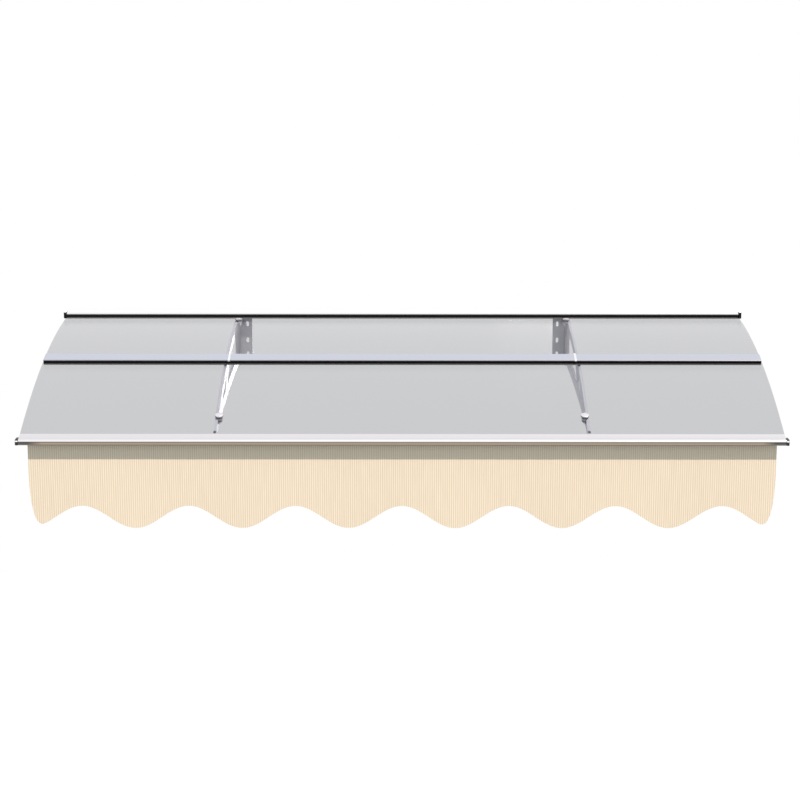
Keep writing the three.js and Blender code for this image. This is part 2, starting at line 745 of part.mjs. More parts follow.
function between(from, to, steps, place) {
  return Array.from({ length: steps + 1 }, (_, i) => place(from + ((to - from) * i) / steps));
}

// How far forward the front opening runs before the members close in on it
function frontOpeningEnd() {
  let rear = WEB_FRONT_BOTTOM;
  let front = armFront;
  while (front - rear > SEAT_GAP) {
    const middle = (rear + front) / 2;
    if (chordBase(middle)[1] - strutTop(middle)[1] > WEB_END_HEIGHT) rear = middle;
    else front = middle;
  }
  return rear;
}

// The opening behind the slanting web, and the one ahead of it
function armOpenings() {
  const end = frontOpeningEnd();
  const rear = [
    ...between(POST_DEPTH, WEB_REAR_TOP, 6, chordBase),
    ...between(WEB_REAR_BOTTOM, POST_DEPTH, 6, strutTop),
  ];
  const front = [
    ...between(WEB_FRONT_TOP, end, 4, chordBase),
    ...between(end, WEB_FRONT_BOTTOM, 3, strutTop),
  ];
  return [rear, front].map((outline) => roundedShape(outline, ARM_CORNER));
}

function flangeSlots() {
  const half = FLANGE_SLOT_WIDTH / 2;
  const straight = FLANGE_SLOT_LENGTH / 2 - half;
  const outline = new THREE.Shape();
  outline.absarc(FLANGE_SLOT_X, straight, half, 0, Math.PI, false);
  outline.absarc(FLANGE_SLOT_X, -straight, half, Math.PI, 2 * Math.PI, false);
  return [-FLANGE_SLOT_DROP, 0, FLANGE_SLOT_PITCH].map((height) => {
    const depth = FLANGE_THICKNESS + 2 * PAST;
    const slot = new THREE.ExtrudeGeometry(outline, { depth, bevelEnabled: false, curveSegments: 4 });
    return slot.rotateX(Math.PI / 2).translate(0, PAST, height);
  });
}

function armPlate() {
  const rear = FLANGE_THICKNESS / 2;
  const outline = shapeOf([
    ...between(rear, armFront, 2 * ARC_STEPS, (forward) => [forward, armBottom(forward)]),
    ...between(armFront, rear, 4 * ARC_STEPS, (forward) => [forward, heightUnder(forward, underside)]),
  ]);
  outline.holes.push(...armOpenings());
  const plate = runAlongX(outline, ARM_THICKNESS, { bevel: ARM_BEVEL, steps: 4 });
  return plate.translate(ARM_OUTER_X - ARM_THICKNESS / 2, 0, 0);
}

function bracket() {
  const flangeTop = rearBase - 2 * SEAT_GAP;
  const flangeBase = armBottom(0);
  const innerX = ARM_OUTER_X - FLANGE_WIDTH;
  const flange = box([innerX, -FLANGE_THICKNESS, flangeBase], [ARM_OUTER_X, 0, flangeTop]);
  const rib = runAlongX(
    shapeOf([
      [0, flangeBase],
      [POST_DEPTH, armBottom(POST_DEPTH) + ARM_BEVEL],
      [POST_DEPTH, heightUnder(POST_DEPTH, underside + BOSS_HEIGHT)],
      [0, heightUnder(0, underside + BOSS_HEIGHT)],
    ]),
    POST_THICKNESS,
  );
  rib.translate(ARM_OUTER_X - POST_THICKNESS / 2, 0, 0);

  const seat = seatMatrix(footMiddleX, frontSlope);
  const halfFoot = FOOT_WIDTH / 2;
  const foot = box([-halfFoot, -footFront, footBase], [halfFoot, -footRear, -underside]);
  const bosses = clampPlaces.map(([, slope]) => {
    const boss = post(BOSS_RADIUS, BOSS_HEIGHT, bossTop - BOSS_HEIGHT);
    return boss.applyMatrix4(seatMatrix(CLAMP_X, slope));
  });
  const whole = join(armPlate(), flange, rib, foot.applyMatrix4(seat), ...bosses);

  const underFlange = box(
    [-FLANGE_WIDTH, -PAST, footTopFront],
    [FLANGE_WIDTH, FRONT_FLANGE_DEPTH + SEAT_GAP, PAST],
  );
  const screwHole = post(TIP_SCREW_RADIUS + SEAT_GAP, 2 * FOOT_DEPTH, footBase - PAST / 2);
  const midNotch = box(
    [-FLANGE_WIDTH, -MID_BAR_FLANGE / 2 - SEAT_GAP, -underside - MID_BAR_FLANGE_THICKNESS - SEAT_GAP],
    [FLANGE_WIDTH, MID_BAR_FLANGE / 2 + SEAT_GAP, PAST],
  );
  const bores = clampPlaces.map(([, slope]) => {
    const bore = post(BOLT_RADIUS + BOLT_CLEARANCE, 2 * BOSS_HEIGHT + PAST, bossTop - 2 * BOSS_HEIGHT);
    return bore.applyMatrix4(seatMatrix(CLAMP_X, slope));
  });
  const padSeats = clampPlaces.map(([, slope]) => {
    const reach = PAD_RADIUS + SEAT_GAP;
    return post(reach, BOSS_HEIGHT + PAST, bossTop).applyMatrix4(seatMatrix(CLAMP_X, slope));
  });
  const nutReach = NUT_ACROSS_FLATS / Math.sqrt(3) + NUT_ROOM;
  const nutDepth = NUT_HEIGHT + BOLT_TAIL + NUT_ROOM + SEAT_GAP;
  const nutRooms = clampPlaces.map(([, slope]) => {
    const room = post(nutReach, nutDepth, bossTop - BOSS_HEIGHT - nutDepth);
    return room.applyMatrix4(seatMatrix(CLAMP_X, slope));
  });
  const sheetRoom = runAlongX(
    arcSection(slopeAt(-PAST), slopeAt(SHEET_FRONT + PAST), -PAST, underside),
    2 * SHEET_WIDTH,
    { steps: 2 * ARC_STEPS },
  );
  return cut(
    whole,
    sheetRoom,
    underFlange.applyMatrix4(seat),
    screwHole.applyMatrix4(tipScrewMatrix(1)),
    midNotch.applyMatrix4(seatMatrix(ARM_OUTER_X, midSlope)),
    armPad(SEAT_GAP, PAST),
    ...bores,
    ...padSeats,
    ...nutRooms,
    ...flangeSlots(),
  );
}

// The rubber pad let into the foot's outer top edge, with room round it and over it when it is a cutter
function armPad(room, over) {
  const behindEdge = FRONT_FLANGE_DEPTH + ARM_PAD_SETBACK + ARM_PAD_LENGTH / 2;
  const slope = frontSlope - behindEdge / SHEET_RADIUS;
  const half = ARM_PAD_LENGTH / 2 + room;
  const low = [-ARM_PAD_WIDTH - room, -half, -underside - ARM_PAD_DEPTH - room];
  const high = [room, half, -underside + over];
  return box(low, high).applyMatrix4(seatMatrix(ARM_OUTER_X, slope));
}

function tipScrew() {
  const headTop = footBase - SEAT_GAP;
  const profile = new THREE.Path();
  profile.moveTo(0, headTop - TIP_SCREW_HEAD_HEIGHT);
  profile.quadraticCurveTo(
    TIP_SCREW_HEAD_RADIUS,
    headTop - TIP_SCREW_HEAD_HEIGHT,
    TIP_SCREW_HEAD_RADIUS,
    headTop,
  );
  profile.lineTo(TIP_SCREW_RADIUS, headTop);
  profile.lineTo(TIP_SCREW_RADIUS, -underside - SEAT_GAP);
  profile.lineTo(0, -underside - SEAT_GAP);
  const geometry = new THREE.LatheGeometry(profile.getPoints(5), 2 * ROUND_STEPS);
  return geometry.rotateX(Math.PI / 2).applyMatrix4(tipScrewMatrix(1));
}

function addBrackets(awning) {
  for (const [side, sign] of SIDES) {
    const holder = new THREE.Group();
    holder.scale.x = sign;
    piece(holder, `bracket_${side}`, bracket(), "castAluminium");
    piece(holder, `arm_pad_${side}`, armPad(0, 0), "rubber");
    piece(holder, `tip_screw_${side}`, tipScrew(), "steel");
    awning.add(holder);
  }
}

const awning = new THREE.Group();
addBrackets(awning);
addPanels(awning);
addClamps(awning);
addRearBar(awning);
addMidBar(awning);
addFrontBar(awning);
addValance(awning);

export default awning;
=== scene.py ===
"""Looks of a polycarbonate door awning: finishes for its solids, and its ribbed cloth valance.

Metres, +Z up, the wall at Y = 0 and the front towards -Y.
"""

import math

import bmesh
import bpy
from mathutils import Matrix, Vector


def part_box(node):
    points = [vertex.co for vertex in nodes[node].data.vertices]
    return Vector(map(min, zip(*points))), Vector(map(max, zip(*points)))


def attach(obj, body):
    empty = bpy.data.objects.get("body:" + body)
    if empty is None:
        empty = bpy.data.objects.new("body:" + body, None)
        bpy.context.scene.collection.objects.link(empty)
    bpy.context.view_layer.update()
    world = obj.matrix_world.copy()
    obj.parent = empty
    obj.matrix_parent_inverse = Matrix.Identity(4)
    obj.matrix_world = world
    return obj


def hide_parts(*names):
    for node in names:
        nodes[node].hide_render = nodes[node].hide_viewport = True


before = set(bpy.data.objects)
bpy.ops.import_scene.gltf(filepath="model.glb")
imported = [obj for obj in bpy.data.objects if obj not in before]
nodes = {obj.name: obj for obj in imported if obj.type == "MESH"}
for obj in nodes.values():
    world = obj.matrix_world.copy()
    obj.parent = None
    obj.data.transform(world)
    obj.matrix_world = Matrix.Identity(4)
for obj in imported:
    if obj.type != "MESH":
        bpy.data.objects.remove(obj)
bpy.context.view_layer.update()

MM = 0.001

# Camera, as the photograph's
LENS = 90.0
SENSOR = 36.0
CAMERA_PLACE = (0.0081, -5.883, 1.0665)
CAMERA_PITCH = 12.0  # degrees down
CAMERA_TURN = 0.15  # degrees to the left

# Light
TO_SUN = (0.398, -0.3475, 0.849)
SUN_STRENGTH = 4.9
SUN_ANGLE = 1.2  # degrees across
SUN_COLOUR = "#FFF4EC"
SKY_STRENGTH = 0.535
SKY_COLOUR = "#E8F6FF"
RIM_PLACE = (0.74, 5.0, -1.05)  # behind the right bracket, so that it glances off the left one
RIM_AIM = (-0.49, -0.4, 0.0)
RIM_SIZE = 0.4
RIM_POWER = 25.0
FLOOR_DROP = 2.1  # below the origin
FLOOR_SIZE = 9.0
FLOOR_GLOW = 0.6  # share of plain white in what is seen of the floor

# Valance
CLOTH = 0.6 * MM
LAYER_GAP = 0.1 * MM  # between the cloth and its turned hem
ROD_ROOM = 0.3 * MM
HEM_TURN = 16 * MM
HEM_SHARES = (1.0, 0.5, 0.0)  # rows of points up the hem
LOOP_STEPS = 10  # and round the rod
DROP_SHARES = (0.0, 0.12, 0.3, 0.5, 0.7, 0.86, 1.0)  # and down the front
WAVE_LENGTH = 280.4 * MM
WAVE_SWING = 30 * MM
CORNER_WIDTH = 52 * MM
CORNER_SIDE = 80 * MM
CORNER_POWER = 3.6
RIB_PITCH = 5.65 * MM
RIB_DEPTH = 0.1 * MM
RIB_SHAPE = (-0.5, 0.25, 0.5, 0.25)  # heights of a rounded rib, groove first, in rib depths
SIDE_STEPS = (0.0, 0.08, 0.25, 0.6, 1.1)  # columns close to a side, mm in from it
SIDE_CLEAR = 1.2 * MM  # the ribs stop this far from a side
SWAY = 0.8 * MM
SWAY_LENGTH = 430 * MM

# Shading of the solids
SHARP_ANGLE = math.radians(35)
WELD = 0.002 * MM

# Bars
FACE_HEIGHT = 9 * MM  # of the front bar's upright face
FACE_FADE = 0.5 * MM
END_FADE = 62 * MM  # from the front bar's ends, where the painted reflection on its face starts to darken
END_DARK = 26 * MM  # and where it is darkest
SEAL_HEIGHT = 11.6 * MM
FRONT_HIGHLIGHT = 3.2 * MM  # height of the painted highlight on the front caps, above the face
REAR_HIGHLIGHT = 2.9 * MM  # height of the painted highlight along the top of the rear caps

# Brackets
SHEET_RADIUS = 2202 * MM
ARC_AXIS = (0.0, 0.0879, -2.1303)  # of the sheets' curve
EDGE_FADE = 14 * MM  # below the top of the sheets, where the painted light on the arms' top edge starts
EDGE_FULL = 12 * MM
POST_INSIDE = 481.4 * MM  # from the middle of the awning
ARM_INSIDE = 487.2 * MM
ARM_OUTSIDE = 494.8 * MM
POST_FRONT = -50 * MM
MARGIN = 0.2 * MM  # so that a face that lies on a limit counts

# Sizes of the patterns
FLOW_LENGTH = 500 * MM
FLOW_WIDTH = 18 * MM
DIE_LENGTH = 500 * MM
DIE_WIDTH = 1.1 * MM  # coarser than the real 0.1 mm, so that it shows
PEEL_SIZE = 2.2 * MM
CLOUD_SIZE = 45 * MM
GRAIN_SIZE = 0.5 * MM
TURNING_SIZE = 0.6 * MM
SLUB_WIDTH = 2.8 * MM
SLUB_LENGTH = 80 * MM
THREAD_PITCH = 1.1 * MM  # coarser than the real 0.4 mm, so that it shows
WAVE_PERIOD = math.pi / 10  # of the wave texture at scale 1
NOISE_SPAN = (0.3, 0.7)  # where most of a noise lies
SATIN = (0.28, 0.36)  # roughness
POLISH = (0.2, 0.32)

# How far a normal leans along an axis, where a finish, a painted shade or a painted light starts or ends
BACK_TURN = (0.6, 0.9)
LIP_TURN = (-0.75, -0.45)
FACE_TURN = (-0.7, -0.5)
UNDER_TURN = (-0.6, -0.3)
UP_TURN = (0.5, 0.8)
SIDE_TURN = 0.6


# Nodes

def srgb(code):
    """An sRGB hex colour as linear red, green and blue, with full alpha."""
    parts = [int(code[i : i + 2], 16) / 255 for i in (1, 3, 5)]
    linear = [c / 12.92 if c <= 0.04045 else ((c + 0.055) / 1.055) ** 2.4 for c in parts]
    return (*linear, 1.0)


def scaled(code, by):
    """A hex colour made lighter or darker."""
    red, green, blue, alpha = srgb(code)
    return (by * red, by * green, by * blue, alpha)


def add(tree, kind, sockets=None, **settings):
    """Adds a node with its settings. A socket takes a value, or the output of another node."""
    made = tree.nodes.new(kind)
    for name, value in settings.items():
        setattr(made, name, value)
    for name, value in (sockets or {}).items():
        if isinstance(value, bpy.types.NodeSocket):
            tree.links.new(value, made.inputs[name])
        else:
            made.inputs[name].default_value = value
    return made


def maths(tree, operation, *values):
    return add(tree, "ShaderNodeMath", dict(enumerate(values)), operation=operation).outputs[0]


def mapped(tree, value, span, first=0.0, last=1.0):
    """A value taken from a span to the range from first to last, and held at its ends."""
    start, end = span
    return add(tree, "ShaderNodeMapRange", {0: value, 1: start, 2: end, 3: first, 4: last}).outputs[0]


def mixed(tree, share, one, other):
    """One colour that turns into another. Each is a hex code, a linear colour or a node's output."""
    one, other = (srgb(c) if isinstance(c, str) else c for c in (one, other))
    return add(tree, "ShaderNodeMixRGB", {0: share, 1: one, 2: other}).outputs[0]


def ramp(tree, share, tones):
    """Colours one after the other, as pairs of place and hex code, the first at 0 and the last at 1."""
    made = add(tree, "ShaderNodeValToRGB", {0: share})
    stops = made.color_ramp.elements
    stops[0].color = srgb(tones[0][1])
    stops[1].color = srgb(tones[-1][1])
    for place, code in tones[1:-1]:
        stops.new(place).color = srgb(code)
    return made.outputs[0]


def noise(tree, place, size, detail=2.0):
    """A noise of an even size."""
    sockets = {"Vector": place.outputs["Object"], "Scale": 1 / size, "Detail": detail}
    return add(tree, "ShaderNodeTexNoise", sockets).outputs[0]


def drawn_noise(tree, place, sizes):
    """A noise drawn out along one axis, from its sizes along all three."""
    scale = tuple(1 / size for size in sizes)
    drawn = add(tree, "ShaderNodeMapping", {"Vector": place.outputs["Object"], "Scale": scale})
    sockets = {"Vector": drawn.outputs[0], "Scale": 1.0, "Detail": 2.0}
    return add(tree, "ShaderNodeTexNoise", sockets).outputs[0]


def bump(tree, height, strength, distance):
    sockets = {"Height": height, "Strength": strength, "Distance": distance}
    return add(tree, "ShaderNodeBump", sockets).outputs[0]


def split(tree, vector):
    """The X, Y and Z of a vector, by name."""
    return add(tree, "ShaderNodeSeparateXYZ", {0: vector}).outputs


def material(name):
    """A new material with an empty tree, and the socket that its surface goes to."""
    made = bpy.data.materials.new(name)
    made.use_nodes = True
    made.node_tree.nodes.clear()
    output = add(made.node_tree, "ShaderNodeOutputMaterial")
    return made, made.node_tree, output.inputs["Surface"]


def principled(tree, surface, sockets):
    body = add(tree, "ShaderNodeBsdfPrincipled", sockets)
    tree.links.new(body.outputs[0], surface)


# Materials

def clear_polycarbonate():
    """Extruded clear grey polycarbonate: see-through with a soft gloss, and faint flow lines along it."""
    made, tree, surface = material("clear_grey_polycarbonate")
    place = add(tree, "ShaderNodeTexCoord")
    flow = drawn_noise(tree, place, (FLOW_LENGTH, FLOW_WIDTH, FLOW_WIDTH))
    sockets = {
        "Base Color": srgb("#1C233A"),
        "Roughness": 0.12,
        "IOR": 1.585,
        "Specular IOR Level": 0.25,
        "Alpha": 0.245,
        "Normal": bump(tree, flow, 0.02, 1 * MM),
    }
    principled(tree, surface, sockets)
    return made


def die_lines(tree, place):
    """The fine lines that an extrusion die leaves along a bar, drawn coarser than they are."""
    return drawn_noise(tree, place, (DIE_LENGTH, DIE_WIDTH, DIE_WIDTH))


def anodised_aluminium(name, colour, lip_shade_colour):
    """Extruded aluminium, anodised: a satin metal with die lines along the bar, with painted shade on the
    lips in front, and greyer on the back."""
    made, tree, surface = material(name)
    place = add(tree, "ShaderNodeTexCoord")
    turned = split(tree, place.outputs["Normal"])
    lines = die_lines(tree, place)
    tone = mixed(tree, lines, colour, scaled(colour, 0.94))
    # Painted shade on the lips and chamfers that face forward.
    lip_shade = mapped(tree, turned["Y"], LIP_TURN, 1.0, 0.0)
    lip_shaded = mixed(tree, lip_shade, tone, lip_shade_colour)
    back = mapped(tree, turned["Y"], BACK_TURN)
    sockets = {
        "Base Color": mixed(tree, back, lip_shaded, "#B2B2B6"),
        "Roughness": mapped(tree, lines, NOISE_SPAN, *SATIN),
        "Metallic": 1.0,
    }
    principled(tree, surface, sockets)
    return made


def front_bar_aluminium():
    """The same metal, with a painted reflection of the beige cloth on its upright face, darker at the face's
    edges and towards the ends, and painted shade on its underside.
    """
    made, tree, surface = material("anodised_front_bar")
    low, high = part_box("front_bar")
    face_top = low.z + FACE_HEIGHT
    place = add(tree, "ShaderNodeTexCoord")
    apart = split(tree, place.outputs["Object"])
    turned = split(tree, place.outputs["Normal"])
    lines = die_lines(tree, place)
    height = mapped(tree, apart["Z"], (low.z, face_top))
    # Painted reflection: the face's brown stands for the cloth below it, with dark bands at its top and
    # bottom edges.
    tones = [(0.0, "#5E574C"), (0.15, "#8A8072"), (0.5, "#B5A793"), (0.85, "#8A7D6F"), (1.0, "#544A40")]
    face = ramp(tree, height, tones)
    outwards = maths(tree, "ABSOLUTE", apart["X"])
    # Painted reflection: the face turns dark grey towards the ends, past the cloth.
    ends = mapped(tree, outwards, (high.x - END_FADE, high.x - END_DARK))
    painted_face_reflection = mixed(tree, ends, face, mixed(tree, height, "#7C7771", "#424140"))
    facing = mapped(tree, turned["Y"], FACE_TURN, 1.0, 0.0)
    below = mapped(tree, apart["Z"], (face_top, face_top + FACE_FADE), 1.0, 0.0)
    reflection_mask = maths(tree, "MINIMUM", facing, below)
    # Painted shade on the underside.
    underside_shade = mapped(tree, turned["Z"], UNDER_TURN, 1.0, 0.0)
    shaded = mixed(tree, underside_shade, mixed(tree, lines, "#E6E4E7", "#DFDEE1"), "#2E2A25")
    sockets = {
        "Base Color": mixed(tree, reflection_mask, shaded, painted_face_reflection),
        "Roughness": mapped(tree, lines, NOISE_SPAN, *SATIN),
        "Metallic": 1.0,
    }
    principled(tree, surface, sockets)
    return made


def cast_aluminium():
    """Cast aluminium under silver paint: half metallic with a slight orange peel, with painted light along
    the top edge, painted shade in the posts' inner corners and on the bosses, and bare where it lies on the
    wall."""
    made, tree, surface = material("painted_cast_aluminium")
    place = add(tree, "ShaderNodeTexCoord")
    apart = split(tree, place.outputs["Object"])
    turned = split(tree, place.outputs["Normal"])
    tone = mixed(tree, noise(tree, place, CLOUD_SIZE), "#DADBE1", "#E7E8ED")
    from_axis = add(
        tree,
        "ShaderNodeVectorMath",
        {0: place.outputs["Object"], 1: ARC_AXIS},
        operation="SUBTRACT",
    )
    across = add(tree, "ShaderNodeVectorMath", {0: from_axis.outputs[0], 1: (0, 1, 1)}, operation="MULTIPLY")
    radius = add(tree, "ShaderNodeVectorMath", {0: across.outputs[0]}, operation="LENGTH")
    # Painted light: upward faces close to the sheets turn pale lavender and less metallic.
    near_sheet = mapped(tree, radius.outputs["Value"], (SHEET_RADIUS - EDGE_FADE, SHEET_RADIUS - EDGE_FULL))
    upper = maths(tree, "MINIMUM", near_sheet, mapped(tree, turned["Z"], UP_TURN))
    top_lit_tone = mixed(tree, upper, tone, "#F2F4FF")
    # Painted shade: dark grey on the posts, darkest at their inner corners.
    outwards = maths(tree, "ABSOLUTE", apart["X"])
    corner = mapped(tree, outwards, (POST_INSIDE, ARM_OUTSIDE), 0.45, 0.0)
    outside = maths(tree, "GREATER_THAN", outwards, POST_INSIDE - MARGIN)
    on_post = maths(tree, "GREATER_THAN", apart["Y"], POST_FRONT - MARGIN)
    shade = maths(tree, "MULTIPLY", maths(tree, "MULTIPLY", corner, outside), on_post)
    posts = mixed(tree, shade, top_lit_tone, "#303034")
    # Painted shade: the bosses inside the arms, ahead of the posts, are grey.
    past_arm = maths(tree, "LESS_THAN", outwards, ARM_INSIDE - MARGIN)
    ahead = maths(tree, "LESS_THAN", apart["Y"], POST_FRONT - MARGIN)
    bosses = mixed(tree, maths(tree, "MULTIPLY", past_arm, ahead), posts, "#8E8E94")
    bare = mapped(tree, turned["Y"], BACK_TURN)
    sockets = {
        "Base Color": mixed(tree, bare, bosses, "#8C8C90"),
        "Roughness": 0.42,
        "Metallic": mapped(tree, upper, (0.0, 1.0), 0.5, 0.0),
        "Normal": bump(tree, noise(tree, place, PEEL_SIZE), 0.12, 0.3 * MM),
    }
    principled(tree, surface, sockets)
    return made


def moulded_polymer(name, colour, roughness, gloss, rib=None):
    """Rubber or nylon out of a mould: matt to satin, with the fine grain of the mould, and where heights are
    given a painted highlight across its front, between them."""
    made, tree, surface = material(name)
    place = add(tree, "ShaderNodeTexCoord")
    specks = noise(tree, place, GRAIN_SIZE, 3.0)
    tone = mixed(tree, specks, colour, scaled(colour, 1.5))
    # rib holds the two heights of a painted highlight band, not a moulded rib.
    if rib:
        height = split(tree, place.outputs["Object"])["Z"]
        aside = maths(tree, "ABSOLUTE", split(tree, place.outputs["Normal"])["X"])
        front = maths(tree, "LESS_THAN", aside, SIDE_TURN)
        above = maths(tree, "GREATER_THAN", height, rib[0])
        below = maths(tree, "LESS_THAN", height, rib[1])
        highlight_band = maths(tree, "MULTIPLY", maths(tree, "MULTIPLY", above, below), front)
        tone = mixed(tree, highlight_band, tone, "#EDEDF2")
    sockets = {
        "Base Color": tone,
        "Roughness": roughness,
        "IOR": 1.5,
        "Specular IOR Level": gloss,
        "Normal": bump(tree, specks, 0.2, 0.2 * MM),
    }
    principled(tree, surface, sockets)
    return made


def rubber_seal(name):
    """A matt black EPDM strip, with painted highlights along its lower and upper edges."""
    made, tree, surface = material(f"epdm_{name}")
    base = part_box(name)[0].z
    place = add(tree, "ShaderNodeTexCoord")
    height = mapped(tree, split(tree, place.outputs["Object"])["Z"], (base, base + SEAL_HEIGHT))
    # Painted highlights: pale at the bottom and top of the strip, black in its middle.
    tones = [(0.0, "#9A9A9A"), (0.25, "#585858"), (0.5, "#0C0C0C"), (0.8, "#080808"), (1.0, "#505050")]
    sockets = {
        "Base Color": ramp(tree, height, tones),
        "Roughness": 0.85,
        "IOR": 1.5,
        "Specular IOR Level": 0.05,
    }
    principled(tree, surface, sockets)
    return made


def bright_steel(name, colour):
    """Stainless steel, turned and polished: bright, with faint turning marks."""
    made, tree, surface = material(name)
    place = add(tree, "ShaderNodeTexCoord")
    marks = noise(tree, place, TURNING_SIZE, 1.0)
    sockets = {
        "Base Color": srgb(colour),
        "Roughness": mapped(tree, marks, NOISE_SPAN, *POLISH),
        "Metallic": 1.0,
    }
    principled(tree, surface, sockets)
    return made


def awning_cloth():
    """Spun acrylic, woven with a rib and dyed beige: matt, with painted shade in the grooves, and slub."""
    made, tree, surface = material("ribbed_acrylic_cloth")
    place = add(tree, "ShaderNodeTexCoord")
    along = split(tree, place.outputs["Object"])["X"]
    # Painted shade: the colour darkens towards each rib's groove.
    rib = maths(tree, "COSINE", maths(tree, "MULTIPLY", along, 2 * math.pi / RIB_PITCH))
    tone = mixed(tree, mapped(tree, rib, (-1.0, 1.0)), "#FDECD4", "#E5D5BA")
    slub = drawn_noise(tree, place, (SLUB_WIDTH, SLUB_WIDTH, SLUB_LENGTH))
    light = mapped(tree, slub, (0.25, 0.75), 0.96, 1.04)
    yarn = add(tree, "ShaderNodeVectorMath", {0: tone, "Scale": light}, operation="SCALE")
    weave = add(
        tree,
        "ShaderNodeTexWave",
        {"Vector": place.outputs["Object"], "Scale": WAVE_PERIOD / THREAD_PITCH, "Distortion": 1.0},
        bands_direction="Z",
    )
    sockets = {
        "Base Color": yarn.outputs[0],
        "Roughness": 0.95,
        "IOR": 1.5,
        "Specular IOR Level": 0.1,
        "Sheen Weight": 0.05,
        "Normal": bump(tree, weave.outputs[1], 0.15, 0.2 * MM),
    }
    principled(tree, surface, sockets)
    return made


# The valance, a strip of cloth turned round the rod in its hem

def lower_edge(x, half, drop):
    """How far below the bar the cloth reaches."""
    wave = drop - WAVE_SWING * math.cos(2 * math.pi * x / WAVE_LENGTH)
    into = (abs(x) - (half - CORNER_WIDTH)) / CORNER_WIDTH
    if into <= 0:
        return wave
    return CORNER_SIDE + (wave - CORNER_SIDE) * math.sqrt(max(0.0, 1 - min(1.0, into) ** CORNER_POWER))


def rib_columns(half):
    """Places along X, four to a rib, with the height of the rib there, and more where a side turns."""
    step = RIB_PITCH / len(RIB_SHAPE)
    count = int(half / step)
    columns = [(i * step, RIB_SHAPE[i % len(RIB_SHAPE)]) for i in range(-count, count + 1)]
    tight = [half - part * MM for part in SIDE_STEPS]
    inner = [(x, rib) for x, rib in columns if abs(x) < half - SIDE_CLEAR]
    left = [(-x, 0.0) for x in tight]
    right = [(x, 0.0) for x in reversed(tight)]
    return left + inner + right


def cloth_line(base, rod_height, loop, reach):
    """Places of forward and height along the cloth: up the turned hem, round the rod, down the front."""
    aside = (CLOTH + LAYER_GAP) / 2
    turn = min(HEM_TURN, 0.8 * reach)
    mouth = math.asin(aside / loop)
    line = [(-aside, base - turn * share) for share in HEM_SHARES]
    for i in range(LOOP_STEPS + 1):
        angle = -math.pi / 2 - mouth - (2 * math.pi - 2 * mouth) * i / LOOP_STEPS
        line.append((loop * math.cos(angle), rod_height + loop * math.sin(angle)))
    line += [(aside, base - reach * share) for share in DROP_SHARES]
    return line


def offset(line, distance):
    """The line moved outwards, away from the rod."""
    moved = []
    for i, (forward, height) in enumerate(line):
        before = line[max(0, i - 1)]
        after = line[min(len(line) - 1, i + 1)]
        run = Vector((after[0] - before[0], after[1] - before[1])).normalized()
        moved.append((forward - run.y * distance, height + run.x * distance))
    return moved


def ribbed_valance():
    """The cloth as one closed shell, with its flat size and the area that it is cut to."""
    low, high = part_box("valance")
    rod_low, rod_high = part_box("valance_keder")
    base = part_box("front_bar")[0].z
    rod = (rod_low + rod_high) / 2
    loop = (rod_high.z - rod_low.z) / 2 + ROD_ROOM + CLOTH / 2
    drop = base - low.z - WAVE_SWING
    half = high.x
    points = []
    cut_area = 0.0
    last_x = None
    for x, rib in rib_columns(half):
        reach = lower_edge(x, half, drop)
        line = cloth_line(base, rod.z, loop, reach)
        outer = offset(line, rib * RIB_DEPTH + CLOTH / 2)
        inner = offset(line, rib * RIB_DEPTH - CLOTH / 2)
        for forward, height in outer + inner[::-1]:
            below = max(0.0, base - height) / drop
            sway = SWAY * below**2 * math.sin(2 * math.pi * x / SWAY_LENGTH)
            points.append((x, rod.y - forward - sway, height))
        ring = 2 * len(line)
        length = sum(math.dist(a, b) for a, b in zip(line, line[1:]))
        if last_x is not None:
            cut_area += (x - last_x) * length
        last_x = x
    columns = len(points) // ring
    faces = []
    for c in range(columns - 1):
        for i in range(ring):
            j = (i + 1) % ring
            faces.append((c * ring + i, c * ring + j, (c + 1) * ring + j, (c + 1) * ring + i))
    for c in (0, columns - 1):
        for i in range(ring // 2 - 1):
            k = ring - 1 - i
            faces.append((c * ring + i, c * ring + i + 1, c * ring + k - 1, c * ring + k))
    mesh = bpy.data.meshes.new("valance_cloth")
    mesh.from_pydata(points, [], faces)
    shell = bmesh.new()
    shell.from_mesh(mesh)
    bmesh.ops.recalc_face_normals(shell, faces=shell.faces)
    for face in shell.faces:
        face.smooth = True
    for edge in shell.edges:
        edge.smooth = edge.calc_face_angle(0.0) < SHARP_ANGLE
    shell.to_mesh(mesh)
    shell.free()
    cloth = bpy.data.objects.new("valance_cloth", mesh)
    bpy.context.scene.collection.objects.link(cloth)
    turn_length = HEM_TURN + 2 * math.pi * loop
    flat = (2 * half, drop + WAVE_SWING + turn_length)
    return cloth, flat, cut_area


# Finishes of the solids

def smooth_by_angle():
    """A modifier tree that welds a solid's facets and smooths all but its real edges."""
    tree = bpy.data.node_groups.new("smooth_by_angle", "GeometryNodeTree")
    tree.interface.new_socket("Geometry", in_out="INPUT", socket_type="NodeSocketGeometry")
    tree.interface.new_socket("Geometry", in_out="OUTPUT", socket_type="NodeSocketGeometry")
    start = add(tree, "NodeGroupInput")
    welded = add(
        tree,
        "GeometryNodeMergeByDistance",
        {"Geometry": start.outputs[0], "Distance": WELD},
    )
    smooth = add(
        tree,
        "GeometryNodeSetShadeSmooth",
        {"Geometry": welded.outputs[0], "Shade Smooth": True},
        domain="FACE",
    )
    angle = add(tree, "GeometryNodeInputMeshEdgeAngle")
    flat = add(
        tree,
        "FunctionNodeCompare",
        {0: angle.outputs[0], 1: SHARP_ANGLE},
        operation="LESS_EQUAL",
    )
    top_lit_tone = add(
        tree,
        "GeometryNodeSetShadeSmooth",
        {"Geometry": smooth.outputs[0], "Shade Smooth": flat.outputs[0]},
        domain="EDGE",
    )
    add(tree, "NodeGroupOutput", {"Geometry": top_lit_tone.outputs[0]})
    return tree


